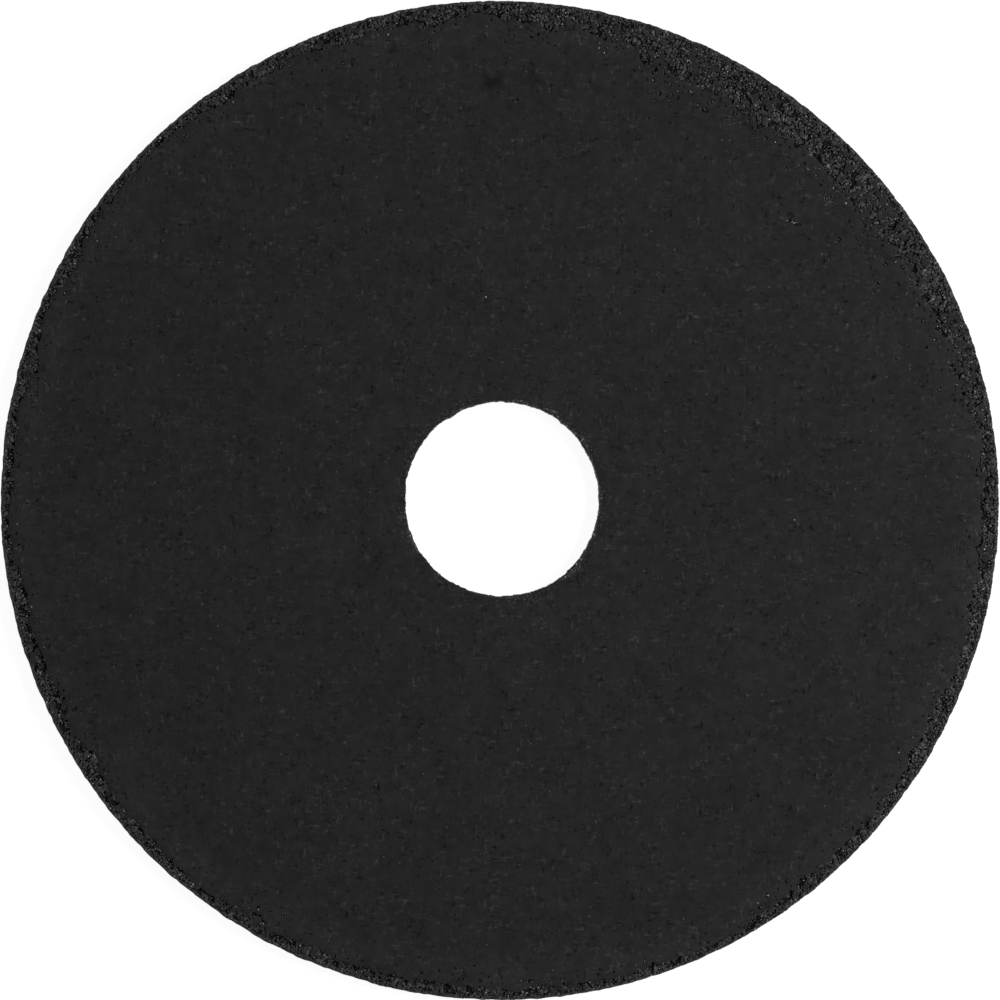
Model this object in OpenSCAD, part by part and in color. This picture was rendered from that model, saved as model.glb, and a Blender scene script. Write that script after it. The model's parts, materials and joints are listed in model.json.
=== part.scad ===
// Flat cut-off wheel for an angle grinder: one moulded disc of bonded abrasive.
// The faces are pressed smooth. Their skin stops short of the cutting rim, where a
// band of open grain shows, and on the front it has broken away further in places.
// Z is the spindle axis, and the wheel lies on its back face in the plane z = 0.

/* [Wheel] */
// Outer diameter of the wheel
wheel_d = 114.3; // [100:0.1:130]
// Thickness over the two pressed faces
wheel_t = 1.6; // [1.2:0.1:3.2]
// Diameter of the plain spindle bore
bore_d = 22.23; // [16:0.01:25.4]
// Rounding of the two worn corners of the cutting rim
rim_round = 0.25; // [0.1:0.05:0.35]

/* [Open grain band] */
// Depth of the open grain below the pressed faces
band_depth = 0.2; // [0.1:0.05:0.25]
// Width of the band where the skin is whole
band_w = 1.2; // [0.9:0.1:2]
// Height of the ragged ripple along the edge of each skin
ripple = 0.25; // [0:0.05:0.35]
// Share by which the breaks in the skins are drawn wider or narrower
break_scale = 1; // [0:0.1:1.5]

/* [Chips in the front skin] */
// Length of a usual chip
chip_l = 1; // [0.5:0.1:1.5]
// Depth of the chips
chip_depth = 0.15; // [0.05:0.05:0.4]

/* [Hidden] */
$fn = 128;
rim_r = wheel_d / 2;
body_t = wheel_t - 2 * band_depth;
// The rounding of the rim leaves some of its wall flat
rim_fillet = min(rim_round, 0.4 * body_t);
// Points along the ragged edge of each skin
edge_steps = 240;
// Turn of the ripple of the back skin against that of the front one
back_turn = 70;
// Cutters reach this far past the faces that they open
over = 1;
abrasive_grey = [0.15, 0.15, 0.15];

// Ripple of a skin's edge: waves in a turn, share of its height, phase for each degree of skin_turn
waves = [[13, 0.45, 1], [29, 0.35, 2], [53, 0.3, 5]];
// Breaks in the front skin: middle (degrees), half span (degrees), extra width (band widths)
front_breaks = [
    [2, 16, 0.4],
    [14, 7, 1.4],
    [24, 12, 1.6],
    [39, 12, 1.1],
    [50, 36, 2.1],
    [57, 12, 0.9],
    [70, 10, 2.2],
    [83, 11, 1.3],
    [99, 8, 0.9],
    [109, 8, 0.8],
    [123, 10, 0.6],
    [152, 5, 0.6],
    [164, 7, 0.5],
    [193, 7, 0.7],
    [203, 7, 0.9],
    [213, 8, 0.8],
    [221, 6, 0.4],
    [240, 9, 0.6],
    [247, 5, 0.5],
    [264, 14, 0.3],
    [277, 6, 0.2],
    [308, 6, 0.5],
    [319, 8, 0.4],
    [332, 10, 1.0],
    [347, 7, 0.9],
    [355, 6, 0.8],
];
// Breaks in the back skin, which runs nearly even
back_breaks = [
    [75, 24, 0.6],
    [190, 36, 0.4],
    [305, 20, 0.7],
];
// Chips: place (degrees), distance in from the rim (band widths), length and width (usual lengths),
// turn (degrees)
chips = [
    [68.8, 6.1, 0.8, 0.5, 15],
    [65.2, 4.8, 1.3, 0.5, -80],
    [62.5, 5.7, 1.2, 0.8, -60],
    [59.0, 4.6, 0.9, 0.6, -75],
    [53.9, 4.9, 0.8, 0.6, 10],
    [49.2, 5.8, 1.0, 0.5, -55],
    [43.6, 9.2, 3.1, 0.6, -65],
    [42.6, 5.1, 1.4, 1.1, -40],
    [37.7, 7.0, 0.9, 0.8, 35],
    [29.9, 6.3, 1.1, 0.7, -50],
    [14.2, 4.5, 0.8, 0.8, 0],
];
// Corners of a chip one long and one wide, as an uneven flake leaves it
chip_corners = [[-0.5, 0.05], [-0.25, 0.5], [0.2, 0.35], [0.5, 0.1], [0.25, -0.5], [-0.3, -0.3]];

function sum(list) = list * [for (item = list) 1];

// Turn from b to a without its sign, from 0 to 180 degrees
function turn_between(a, b) = abs((a - b + 540) % 360 - 180);

// Raised-cosine widening of the band around one break, in band widths
function widening(a, break) =
    let (away = turn_between(a, break[0]))
    away < break[1] ? break[2] * (1 + cos(180 * away / break[1])) / 2 : 0;

// Width of the band at angle a, with a ripple that closes on itself after one turn
function band_width(a, breaks, skin_turn) =
    band_w * (1 + break_scale * sum([for (break = breaks) widening(a, break)]))
    + ripple * sum([for (wave = waves) wave[1] * sin(wave[0] * a + wave[2] * skin_turn)]);

// Outline of a skin, as a ragged disc without its bore
module skin_outline(breaks, skin_turn) {
    polygon([
        for (k = [0 : edge_steps - 1])
            let (a = 360 * k / edge_steps, r = rim_r - band_width(a, breaks, skin_turn))
            [r * cos(a), r * sin(a)]
    ]);
}

// Half section of the moulded body between the skins, with its worn corners
module body_section() {
    translate([0, band_depth]) {
        square([rim_r - rim_fillet, body_t]);
        translate([0, rim_fillet]) square([rim_r, body_t - 2 * rim_fillet]);
        for (height = [rim_fillet, body_t - rim_fillet])
            translate([rim_r - rim_fillet, height]) circle(rim_fillet);
    }
}

// Prism that cuts one chip out of the front skin
module chip_cutter(chip) {
    size = chip_l * [chip[2], chip[3]];
    rotate(chip[0])
        translate([rim_r - band_w * chip[1], 0, wheel_t - chip_depth])
            rotate(chip[4])
                linear_extrude(chip_depth + over)
                    polygon([for (corner = chip_corners) [corner[0] * size[0], corner[1] * size[1]]]);
}

module wheel() {
    color(abrasive_grey)
    difference() {
        union() {
            rotate_extrude() body_section();
            linear_extrude(wheel_t / 2) skin_outline(back_breaks, back_turn);
            translate([0, 0, wheel_t / 2])
                linear_extrude(wheel_t / 2) skin_outline(front_breaks, 0);
        }
        translate([0, 0, -over]) cylinder(d = bore_d, h = wheel_t + 2 * over);
        for (chip = chips) chip_cutter(chip);
    }
}

wheel();
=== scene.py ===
"""Looks of a flat cut-off wheel: pressed skins with a ragged edge, open grain, chips and a bare bore."""

import json
import math

import bmesh
import bpy
import numpy as np
from mathutils import Matrix, Quaternion, Vector
from mathutils.bvhtree import BVHTree
from mathutils.geometry import delaunay_2d_cdt
from mathutils.kdtree import KDTree
from numpy.random import default_rng


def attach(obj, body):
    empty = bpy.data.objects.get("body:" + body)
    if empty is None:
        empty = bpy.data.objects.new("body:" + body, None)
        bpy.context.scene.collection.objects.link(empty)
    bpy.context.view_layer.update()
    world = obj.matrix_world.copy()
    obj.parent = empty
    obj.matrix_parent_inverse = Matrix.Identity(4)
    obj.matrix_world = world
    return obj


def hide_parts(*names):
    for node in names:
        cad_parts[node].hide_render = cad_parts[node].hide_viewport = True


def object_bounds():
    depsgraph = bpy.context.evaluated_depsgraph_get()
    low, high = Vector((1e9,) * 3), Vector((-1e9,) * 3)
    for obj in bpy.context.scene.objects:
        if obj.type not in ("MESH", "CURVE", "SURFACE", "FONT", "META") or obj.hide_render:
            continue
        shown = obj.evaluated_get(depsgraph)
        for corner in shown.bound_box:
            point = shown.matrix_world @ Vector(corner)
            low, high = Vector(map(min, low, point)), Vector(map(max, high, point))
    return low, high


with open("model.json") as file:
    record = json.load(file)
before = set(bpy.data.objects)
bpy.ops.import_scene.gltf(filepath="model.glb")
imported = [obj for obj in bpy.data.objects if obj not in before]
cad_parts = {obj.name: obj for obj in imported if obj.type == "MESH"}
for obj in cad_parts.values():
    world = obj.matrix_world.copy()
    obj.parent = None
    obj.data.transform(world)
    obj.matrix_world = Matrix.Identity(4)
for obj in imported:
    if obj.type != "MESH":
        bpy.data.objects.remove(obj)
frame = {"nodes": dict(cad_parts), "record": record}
cad_low, cad_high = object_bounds()
wheel = frame["nodes"]["wheel"]
bore_mount = next(m for m in frame["record"]["mounts"] if m["name"] == "bore")

# Sizes that follow the frame. Shapes are worked out in millimetres and made in metres.
PER_M = 1000
RIM_R = PER_M * min(cad_high.x, cad_high.y, -cad_low.x, -cad_low.y)
BORE_R = bore_mount["dims"]["r_mm"]
TOP = PER_M * cad_high.z

# Points round the rim and the bore
RIM_POINTS = 2400
BORE_POINTS = 960
# Points inside a skin: distance between them, and their jitter and their gap to its outlines as shares of it
SKIN_PITCH = 1.4
SKIN_JITTER = 0.35
SKIN_CLEAR = 0.5
# Within these distances, points lie at one height or at one place
LEVEL_TOLERANCE = 0.001
MEET_TOLERANCE = 1e-7
# Decimals to which places on the solid are told apart
PLACE_DECIMALS = 4
# Sides of a smooth piece that meet at a larger angle stay sharp
SHARP_DEG = 35

# Ragged edge of a skin: points of noise in a turn, height, band width at which that holds, and how many
# times higher it gets at most where the band is wider
SKIN_RAGS = [(240, 0.22), (500, 0.25), (1000, 0.15)]
RAG_BAND_W = 1.6
RAGS_MOST = 2.0
# Least reach of a skin past its chips, and slope at which it falls back to its own edge beside them
CHIP_MARGIN = 0.15
CHIP_SLOPE = 1.2
# Rounded shoulder of a broken skin edge: width, drop, roughness, distance out to its foot
SHOULDER_W = 0.08
SHOULDER_DROP = 0.04
SHOULDER_ROUGH = 0.01
FOOT_OUT = 0.04
# Least width of the band that the rags leave
BAND_LEAST = 0.6

# Worn rim: rounding of its corners, turns at which that has points, rings of its wall, inset, unevenness,
# and roughness outwards and upwards
RIM_ROUND = 0.25
ROUND_TURNS_DEG = (30, 65)
RIM_WALL_RINGS = 3
RIM_INSET = 0.13
RIM_RAGS = [(24, 0.03), (90, 0.04), (320, 0.05), (640, 0.05)]
RIM_ROUGH = 0.012
WEAR_ROUGH = 0.03
# Worn lip inside the rim's corners: width, drop, unevenness, least gap to the skin, roughness
LIP_W = 0.05
LIP_DROP = 0.06
LIP_RAGS = [(180, 0.1), (500, 0.08)]
LIP_GAP = 0.15
LIP_ROUGH = 0.04
# Pores between the grains: depth below the band's floor, roughness
PORE_DEPTH = 0.15
PORE_ROUGH = 0.02

# Ragged bore edge: points of noise in a turn, height
BORE_RAGS = [(24, 0.06), (70, 0.05), (160, 0.03), (320, 0.03)]
# Stretches where the bore's front edge has flaked: middle and half span in degrees, width
BORE_FLAKES = [
    (0, 10, 0.25), (34, 14, 0.45), (60, 9, 0.45),
    (80, 8, 0.3), (115, 12, 0.15), (205, 14, 0.2),
    (262, 12, 0.15), (315, 14, 0.6), (340, 8, 0.3),
]
BORE_FLAKE_LEAST = 0.1
# Unevenness of the flaked edge's width, as a share of it
BORE_FLAKE_RAGS = [(240, 0.3), (480, 0.15)]
# Flaked edge: drop to the bore's wall, rings (share of its width, share of its drop, roughness), and its
# foot's distance from the wall and roughness
FLAKE_DROP = 0.1
FLAKE_RINGS = [(1.0, 0.1, 0.005), (0.6, 0.3, 0.02), (0.25, 0.6, 0.02)]
FLAKE_FOOT = 0.01
FLAKE_FOOT_ROUGH = 0.015
# Crumbs on the flaked edge: number for each square millimetre, pale share, places as shares of its width,
# least fall as a share of its drop, and how deep they sink in
FLAKE_CRUMBS = 20
FLAKE_PALE_SHARE = 0.5
FLAKE_CRUMB_SHARES = (0.1, 1.0)
FLAKE_CRUMB_FALL = 0.1
FLAKE_CRUMB_SINK = 0.04
# Bore's wall: rings, gap below the flaked edge, height of the lowest ring, unevenness and roughness
WALL_RINGS = 5
WALL_GAP = 0.09
WALL_LOW = 0.1
WALL_RAGS = BORE_RAGS[2:]
WALL_ROUGH = 0.01
# Back edge of the bore: size of its corner, width of its shoulder
BACK_CORNER = 0.03
BACK_SHOULDER_W = 0.12

# Small pits seen in the front skin: place (degrees), distance in from the rim, size
SEEN_PITS = [
    (56.3, 4.7, 0.5), (55.4, 7.2, 0.5), (50.8, 5.0, 0.5),
    (44.9, 5.1, 0.6), (38.2, 5.7, 0.5), (36.6, 11.1, 0.4),
    (33.0, 6.2, 0.5), (32.9, 4.9, 0.5), (21.4, 7.7, 0.4),
    (19.8, 5.4, 0.6), (19.2, 8.5, 0.3), (354.6, 22.9, 0.4),
    (94.6, 34.0, 0.3), (85.0, 3.5, 0.4), (83.5, 5.8, 0.3),
    (88.5, 11.5, 0.3), (352.5, 3.4, 0.4), (355.5, 3.4, 0.5),
    (243.0, 4.4, 0.4), (264.5, 4.0, 0.3), (266.0, 3.0, 0.3),
]
PIT_DEPTH = 0.12
PIT_POINTS = 11
# Outline of a pit: spread of its radius, and how far it is squeezed, as shares
PIT_UNEVEN = (0.45, 1.25)
PIT_SQUEEZE = (0.6, 1)
# Steps of a pit from its edge to its floor: share of its outline, share of its depth; their jitter, and the
# spread of their depths and of the floor's as shares
PIT_STEPS = [(0.9, 0.5), (0.6, 1.0)]
PIT_JITTER = 0.02
PIT_ROUGH = (0.75, 1.15)
PIT_FLOOR = (0.8, 1.2)
# Least gaps from a pit to the skin's shoulder and to other pits; its outline is tested in steps of the second
PIT_EDGE_GAP = 0.05
PIT_GAP = 0.03
# Depths of small pits, as shares of their sizes
SMALL_PIT_DEPTHS = (0.3, 0.5)
# Chips: distance between the points of their outlines, jitter of these, least crumbs in a chip
CHIP_STEP = 0.2
CHIP_JITTER = 0.08
CHIP_CRUMBS = 3
# Small pits strewn round each seen one: how many, their sizes and their distance from it
SATELLITES = 2
SATELLITE_SIZES = (0.2, 0.5)
SATELLITE_GAP = 0.35
# Chance pits along a skin's edge: how many on the front and the back, mean distance in from the edge, sizes
FRONT_CHANCE_PITS = 420
BACK_CHANCE_PITS = 200
CHANCE_PIT_INSET = 0.5
CHANCE_PIT_SIZES = (0.2, 0.45)
# Bites near the front skin's edge: how many, power of the band's width by which they gather, mean distance
# in from the edge, pits tried for each, their reach, their sizes, and their depths as shares of the band's
BITES = 150
BITE_GATHERING = 3
BITE_INSET = 0.5
BITE_PITS = 6
BITE_REACH = 0.8
BITE_SIZES = (0.25, 0.8)
BITE_DEPTHS = (0.5, 0.9)
# Crumbs in a pit: number for each square millimetre, radius, pale share, reach as a share of the outline,
# depths as shares of the pit's
PIT_CRUMBS = 20
PIT_CRUMB_R = 0.1
PIT_PALE_SHARE = 0.2
PIT_CRUMB_REACH = 0.85
PIT_CRUMB_DEPTHS = (0.3, 0.8)

# Grains: distance between them, mean radius, spread of its natural logarithm and limits of that
GRAIN_PITCH = 0.29
GRAIN_R = 0.19
GRAIN_SPREAD = 0.3
SPREAD_LIMITS = (-0.5, 0.45)
# Spread of a grain's corners and of its three widths, as shares of its radius
CORNER_SHARES = (0.6, 1.2)
WIDTH_SHARES = (0.6, 1.25)
# Depths of the grains' middles and of the grit's below the band's floor
GRAIN_DEPTHS = (-0.06, 0.08)
GRIT_DEPTHS = (-0.12, 0.1)
# Worn flats on the grains' outer sides: height over their middles in radii, and slope
FLAT_HEIGHTS = (0.25, 0.6)
FLAT_TILT = 0.15
# Grains stand this far out of the worn rim at most
GRAIN_PROUD = 0.02
# Grit between and on the grains
GRIT_PITCH = 0.36
GRIT_R = 0.1
GRIT_PALE_SHARE = 0.35
# Flakes of skin left on the band: how many are tried on the front and the back, size of their patches, level
# of noise that keeps them, their sizes, how far they lie below the skin, their bevel
FRONT_FLAKES = 950
BACK_FLAKES = 350
FLAKE_PATCH = 2.5
FLAKE_LEVEL = 0.5
FLAKE_SIZES = (0.3, 0.95)
FLAKE_FALL = (0.0, 0.08)
FLAKE_BEVEL = 0.05
# Rows of grains on a band: distance, jitter along and across, in grain distances, and reach under the skin
ROW_SPACING = 0.87
JITTER_ALONG = 0.4
JITTER_ACROSS = 0.35
UNDER_SKIN = 0.05
# Share of the rim's rounding over which the grains follow it
CORNER_REACH = 0.95
# Rows of grains in the rim's wall: how many, inset from the bands' floors, jitter along them in grain
# distances, inset from the rim, jitter of that, jitter upwards
RIM_ROWS = 4
RIM_ROW_INSET = 0.12
RIM_ROW_JITTER = 0.3
RIM_GRAIN_INSET = 0.2
RIM_GRAIN_JITTER = (-0.06, 0.04)
RIM_GRAIN_LIFT = 0.08
# Share of the grains lost at the skin's edge and at the rim, distance from one to the other, size of the gaps
LOST_AT_EDGE = 0.38
LOST_AT_RIM = 0.14
LOST_REACH = 0.8
GAP_SIZE = 0.55
# Patches of noise: cells past the wheel's edges, and shares at which their levels are looked up
SPARE_CELLS = 3
LEVEL_SHARES = 101

# Photograph: half of its frame, the wheel's rim and its centre, in pixels of 1000. The camera leans a few
# degrees off the wheel's axis, towards one angle, as the bore's place in the rim shows.
FRAME_HALF_PX = 500
RIM_R_PX = 500.7
WHEEL_X_PX = 502.1
WHEEL_Y_PX = 499.1
LENS_MM = 225
TILT_DEG = 4.1
TILT_TOWARDS_DEG = 210
SENSOR_MM = 36

# Greys of the surfaces
SKIN_GREY = 0.0125
GRAIN_GREY = 0.019
# Pale crumbs are light-coloured particles made paler still, as painted glints
CRUMB_AND_GLINT_GREY = 0.05
# The pores' near-black greys are painted shade in the hollows between grains and in pits
PORE_SHADE_GREYS = (0.003, 0.012)
WORN_GREYS = (0.012, 0.06)
# The bore ledge's greys, paler than the skin, paint a highlight on its flaked step
LEDGE_WEAR_AND_HIGHLIGHT_GREYS = (0.001, 0.035)
# Noises: size, detail, roughness and bend
FINE_NOISE = (0.4, 3.0, 0.6)
BLOTCH_NOISE = (1.2, 2.0)
MOTTLE_NOISE = (5.0, 3.0, 0.55)
BUSY_NOISE = (2.0, 2.0)
STROKE_NOISE = (0.34, 1.0, 0.5, 0.5)
GRAIN_NOISE = (0.15, 2.0)
PORE_NOISE = (0.3, 3.0)
WORN_NOISE = (0.22, 4.0, 0.7)
# Span in which most of a noise lies, and the spans that noises are mapped from and to
MIDDLE = (0.3, 0.7)
FINE_TONES = (0.25, 0.75, 0.91, 1.09)
BLOTCH_TONES = (*MIDDLE, 0.84, 1.16)
MOTTLE_TONES = (*MIDDLE, 0.91, 1.09)
BUSY_SHARES = (0.4, 0.65, 0.15, 1.0)
LIGHT_STROKES = (0.62, 0.74, 0.0, 1.2)
DARK_STROKES = (0.38, 0.26, 0.0, -0.7)
CRUMBLING_SHARES = (0.4, 0.6)
GRAIN_GRIT_TONES = (*MIDDLE, 0.8, 1.2)
WORN_SPAN = (0.38, 0.64)
# Stretches of the strokes along x and along y, and their share of the skin's relief
STROKE_STRETCHES = [(1, 0.4, 1), (0.4, 1, 1)]
STROKE_RELIEF = 0.6
# Specks in the skin: share of their radius with the full tone; cell, radius, share of cells; their tones,
# and the relief of the dark ones
SPECK_CORE = 0.5
LIGHT_SPECKS = (0.9, 0.14, 0.012)
DARK_SPECKS = (0.8, 0.18, 0.04)
LIGHT_SPECK_TONE = 2.2
DARK_SPECK_TONE = -0.6
DARK_SPECK_RELIEF = -0.8
# Specks where the skin crumbles round the bore: cell, radius, share of cells, tone
BORE_SPECKS = [(0.35, 0.14, 0.35, 3.0), (0.4, 0.16, 0.4, -0.7)]
# Rings where the skin crumbles or is paler: start and end in radii of the bore or the rim, tones there
CRUMBLING = (1.02, 1.15, 1.0, 0.0)
# The paler ring round the bore is a painted glow of light from the white bore
PAINTED_BORE_GLOW = (1.05, 1.4, 1.04, 1.0)
NEAR_BAND = (0.9, 0.945, 1.0, 1.16)
# Dark smudges on the front skin: x, y, reach, shade; shares of the reach that are darkest and that wander
SMUDGES = [(-1.1, 47.7, 1.7, 0.35), (3.5, 48.1, 1.4, 0.6)]
SMUDGE_CORE = 0.1
SMUDGE_WANDER = 0.3
# Tones of the grains and of the pale crumbs, and the painted glint that the palest of both gain
GRAIN_TONES = (0.5, 1.5)
CRUMB_AND_GLINT_TONES = (0.4, 3.4)
PAINTED_GLINT_GAIN = (0.92, 1.0, 0.0, 1.5)
# Roughness and specular levels of the surfaces
SKIN_ROUGHNESS = (*MIDDLE, 0.9, 1.0)
GRAIN_ROUGHNESS = (*MIDDLE, 0.35, 0.55)
WORN_ROUGHNESS = (*MIDDLE, 0.5, 0.7)
PORE_ROUGHNESS = 0.9
SKIN_SPECULAR = 0.08
PORE_SPECULAR = 0.03
GRAIN_SPECULAR = 0.15
CRUMB_SPECULAR = 0.3
# Bumps of the skin and of worn surfaces: strength, height in metres
SKIN_BUMP = (0.35, 0.00003)
WORN_BUMP = (0.6, 0.00006)

# Studio: light of the white world, floor, and where the floor's glow reaches full white, in metres
WHITE = (1, 1, 1, 1)
FILL = 0.15
FLOOR_GREY = (0.8, 0.8, 0.8, 1)
FLOOR_GLOW = 0.92
FLOOR_SHADE = (0.14, 0.14, 0.14, 1)
WHITE_REACH = (0.1, 0.4)
FLOOR_SIZE = 20
FLOOR_DROP = 0.00002
# Softboxes: name, place and size in metres, power
SOFTBOXES = [
    ("key", (0.4, 0.04, 0.26), 0.3, 4.0),
    ("side", (-0.52, 0, 0.18), 0.3, 1.4),
]


def periodic_noise(turn, points, dice):
    """Smooth noise from -1 to 1 that closes on itself; turn runs from 0 to 1."""
    values = dice.uniform(-1, 1, points)
    place = turn * points
    left = np.floor(place).astype(int)
    share = place - left
    share = share * share * (3 - 2 * share)
    return values[left % points] * (1 - share) + values[(left + 1) % points] * share


def rags(turn, layers, dice):
    """Sum of layers of periodic noise, each given as its points in a turn and its height."""
    return sum(height * periodic_noise(turn, points, dice) for points, height in layers)


def polar(radius, angle):
    return np.stack((radius * np.cos(angle), radius * np.sin(angle)), axis=-1)


def with_height(flat, height):
    return np.column_stack((flat, np.broadcast_to(height, len(flat))))


# Outlines of the solid

cad_points = np.array([v.co for v in wheel.data.vertices]) * PER_M
cad_faces = [tuple(p.vertices) for p in wheel.data.polygons]
cad_tree = BVHTree.FromPolygons(cad_points.tolist(), cad_faces)


def cad_height(x, y):
    """Height of the solid's upper side at a place on it."""
    place, _, _, _ = cad_tree.ray_cast(Vector((x, y, 2 * TOP)), Vector((0, 0, -1)))
    return place.z


def cap_outlines(height):
    """Closed outlines of the solid's flat faces at one height, as arrays of x and y."""
    level = np.abs(cad_points[:, 2] - height) < LEVEL_TOLERANCE
    places = [tuple(p) for p in np.round(cad_points[:, :2], PLACE_DECIMALS)]
    sides = set()
    for face in cad_faces:
        if all(level[v] for v in face):
            sides.update((places[a], places[b]) for a, b in zip(face, face[1:] + face[:1]))
    following = {a: b for a, b in sides if (b, a) not in sides}
    outlines = []
    while following:
        start, here = following.popitem()
        outline = [start]
        while here != start:
            outline.append(here)
            here = following.pop(here)
        outlines.append(np.array(outline))
    return outlines


def skin_outlines(height):
    """The outer outline of a skin, and the outlines of its chips in order round the wheel."""
    outlines = sorted(cap_outlines(height), key=lambda o: np.hypot(*o.T).min())
    chips = outlines[1:-1]
    chips.sort(key=lambda o: math.atan2(*o.mean(axis=0)[::-1]))
    return outlines[-1], chips


def turn_of(flat):
    """Share of a turn round the axis at each place."""
    return np.arctan2(flat[:, 1], flat[:, 0]) / math.tau


def radius_round(outline, angle):
    """Radius of an outline at each angle round the wheel."""
    own_angle = np.arctan2(outline[:, 1], outline[:, 0])
    return np.interp(angle, own_angle, np.hypot(*outline.T), period=math.tau)


front_outline, chip_outlines = skin_outlines(TOP)
back_outline, _ = skin_outlines(0)
BAND_DEPTH = TOP - cad_height(RIM_R - 2 * RIM_ROUND, 0)

rim_turn = np.arange(RIM_POINTS) / RIM_POINTS
rim_angle = math.tau * rim_turn
bore_turn = np.arange(BORE_POINTS) / BORE_POINTS
bore_angle = math.tau * bore_turn


def at_turn(turn, values):
    """Values given for the points round the rim, at any turn."""
    return np.interp(turn, rim_turn, values, period=1)


def ragged_skin(outline, chips, dice):
    """Radius of a skin's broken edge at each point round the rim."""
    edge = radius_round(outline, rim_angle)
    edge = edge + rags(rim_turn, SKIN_RAGS, dice) * np.minimum((RIM_R - edge) / RAG_BAND_W, RAGS_MOST)
    for chip in chips:
        middle = math.atan2(*chip.mean(axis=0)[::-1])
        reach = np.hypot(*chip.T).max()
        span = reach * np.abs(np.sin(np.arctan2(chip[:, 1], chip[:, 0]) - middle)).max()
        away = reach * np.abs(np.angle(np.exp(1j * (rim_angle - middle))))
        beside = np.maximum(away - span - CHIP_MARGIN, 0)
        edge = np.maximum(edge, reach + CHIP_MARGIN + SHOULDER_W - CHIP_SLOPE * beside)
    return np.minimum(edge, RIM_R - BAND_LEAST)


front_edge = ragged_skin(front_outline, chip_outlines, default_rng(11))
back_edge = ragged_skin(back_outline, [], default_rng(12))
rim_outline = RIM_R - RIM_INSET + rags(rim_turn, RIM_RAGS, default_rng(15))
rim_outline = np.minimum(rim_outline, RIM_R - GRAIN_PROUD)


# The moulded disc

# Surfaces of the disc, in the order of its materials; the pore surface is near-black painted shade
SKIN, PORE, LIP, LEDGE_WEAR_AND_HIGHLIGHT = range(4)


class Shell:
    """Points and faces of one closed mesh, in millimetres, with the surface of each face."""

    def __init__(self):
        self.points = np.zeros((0, 3))
        self.faces = []
        self.surfaces = []

    def add(self, points):
        first = len(self.points)
        self.points = np.vstack((self.points, points))
        return np.arange(first, first + len(points))

    def add_faces(self, faces, surface):
        self.faces.extend(faces)
        self.surfaces.extend([surface] * len(faces))

    def bridge(self, rings, surfaces):
        """Quads from ring to ring, which have the same number of points."""
        for ring, next_ring, surface in zip(rings, rings[1:], surfaces):
            sides = (ring, np.roll(ring, -1), np.roll(next_ring, -1), next_ring)
            self.add_faces(np.stack(sides, axis=1).tolist(), surface)

    def fan(self, ring, middle, surface):
        tip = self.add(np.array([middle]))[0]
        self.add_faces([[a, b, tip] for a, b in zip(ring, np.roll(ring, -1))], surface)


def inside(places, outline):
    """Whether each place lies inside a closed outline."""
    x, y = places[:, :1], places[:, 1:]
    ax, ay = outline.T
    bx, by = np.roll(outline, -1, axis=0).T
    crosses = (ay > y) != (by > y)
    slope = np.where(by == ay, 1, by - ay)
    return (crosses & (x < ax + (y - ay) / slope * (bx - ax))).sum(axis=1) % 2 == 1


def inner_places(outline_points, outer_r, inner_r, dice):
    """Jittered places inside a skin that keep clear of its outlines."""
    tree = KDTree(len(outline_points))
    for k, p in enumerate(outline_points):
        tree.insert((p[0], p[1], 0), k)
    tree.balance()
    rows = np.arange(-RIM_R, RIM_R, SKIN_PITCH)
    grid = np.array([(x, y) for y in rows for x in rows])
    grid += dice.uniform(-SKIN_JITTER, SKIN_JITTER, grid.shape) * SKIN_PITCH
    reach = np.hypot(*grid.T)
    grid = grid[(reach < outer_r) & (reach > inner_r)]
    clear = SKIN_CLEAR * SKIN_PITCH
    return np.array([p for p in grid if tree.find((p[0], p[1], 0))[2] > clear])


def fill_skin(shell, rings, height, dice):
    """Fills a skin between its outer ring, given first, and its bore and pits with triangles."""
    edge_ids = np.concatenate(rings)
    label = np.concatenate([np.full(len(ring), k) for k, ring in enumerate(rings)])
    outer_r = np.hypot(*shell.points[rings[0], :2].T).max()
    inner_r = np.hypot(*shell.points[rings[1], :2].T).min()
    places = inner_places(shell.points[edge_ids, :2], outer_r, inner_r, dice)
    outlines = [shell.points[ring, :2] for ring in rings]
    places = places[inside(places, outlines[0])]
    for outline in outlines[2:]:
        places = places[~inside(places, outline)]
    inner_ids = shell.add(with_height(places, height))
    ids = np.concatenate((edge_ids, inner_ids))
    label = np.concatenate((label, np.full(len(inner_ids), -1)))
    sides = []
    first = 0
    for ring in rings:
        count = len(ring)
        sides += [(first + k, first + (k + 1) % count) for k in range(count)]
        first += count
    flat = [Vector(p) for p in shell.points[ids, :2]]
    made = delaunay_2d_cdt(flat, sides, [], 0, MEET_TOLERANCE)
    source = np.array([o[0] for o in made[3]])
    triangles = source[np.array(made[2])]
    middles = shell.points[ids[triangles], :2].mean(axis=1)
    of_ring = label[triangles]
    keep = np.ones(len(triangles), bool)
    for k, outline in enumerate(outlines):
        own = np.flatnonzero((of_ring == k).all(axis=1))
        within = inside(middles[own], outline)
        keep[own] = within if k == 0 else ~within
    shell.add_faces(ids[triangles[keep]].tolist(), SKIN)


def refined(outline, spacing, jitter, dice):
    """An outline with points at about one spacing, each moved a little."""
    points = []
    for a, b in zip(outline, np.roll(outline, -1, axis=0)):
        steps = max(1, round(np.hypot(*(b - a)) / spacing))
        points += [a + (b - a) * k / steps for k in range(steps)]
    return np.array(points) + dice.uniform(-jitter, jitter, (len(points), 2))


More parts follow.
